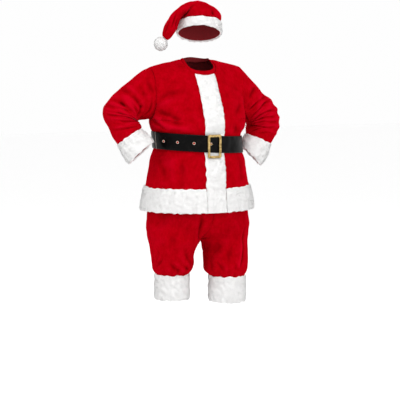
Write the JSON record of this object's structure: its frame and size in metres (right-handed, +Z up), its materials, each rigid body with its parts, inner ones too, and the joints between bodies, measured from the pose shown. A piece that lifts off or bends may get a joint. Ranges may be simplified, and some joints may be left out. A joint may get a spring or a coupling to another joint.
{
  "type": "santa suit",
  "caption": "Red plush jacket, trousers and cap edged in white fur, with a black belt and brass frame buckle, kept in the hollow worn form.",
  "frame": {"origin": "middle of the jacket between the wearer's two shoulders, at the height of the shoulder points, where the wearer holds the jacket up", "axes": "+Z up, the wearer faces -Y, +X towards the wearer's left hand"},
  "size_m": [0.9832, 0.4981, 1.5255],
  "materials": {
    "red_plush": "short brushed pile with a soft sheen",
    "white_fur": "short dense fur pile",
    "black_vinyl": "smooth coated, soft gloss",
    "buckle_brass": "polished, lightly worn"
  },
  "bodies": {
    "root": {"belt_buckle": "buckle_brass", "belt_prong": "buckle_brass", "belt_strap": "black_vinyl", "cuff_left": "white_fur", "cuff_right": "white_fur", "eyelet_1": "buckle_brass", "eyelet_2": "buckle_brass", "eyelet_3": "buckle_brass", "eyelet_4": "buckle_brass", "front_band": "white_fur", "hat_band": "white_fur", "hat_crown": "red_plush", "hat_pompom": "white_fur", "hem_band": "white_fur", "jacket_back": "red_plush", "jacket_front_left": "red_plush", "jacket_front_right": "red_plush", "neck_band": "red_plush", "sleeve_left": "red_plush", "sleeve_right": "red_plush", "trouser_back_left": "red_plush", "trouser_back_right": "red_plush", "trouser_cuff_left": "white_fur", "trouser_cuff_right": "white_fur", "trouser_front_left": "red_plush", "trouser_front_right": "red_plush", "trouser_waistband": "red_plush"}
  },
  "joints": []
}
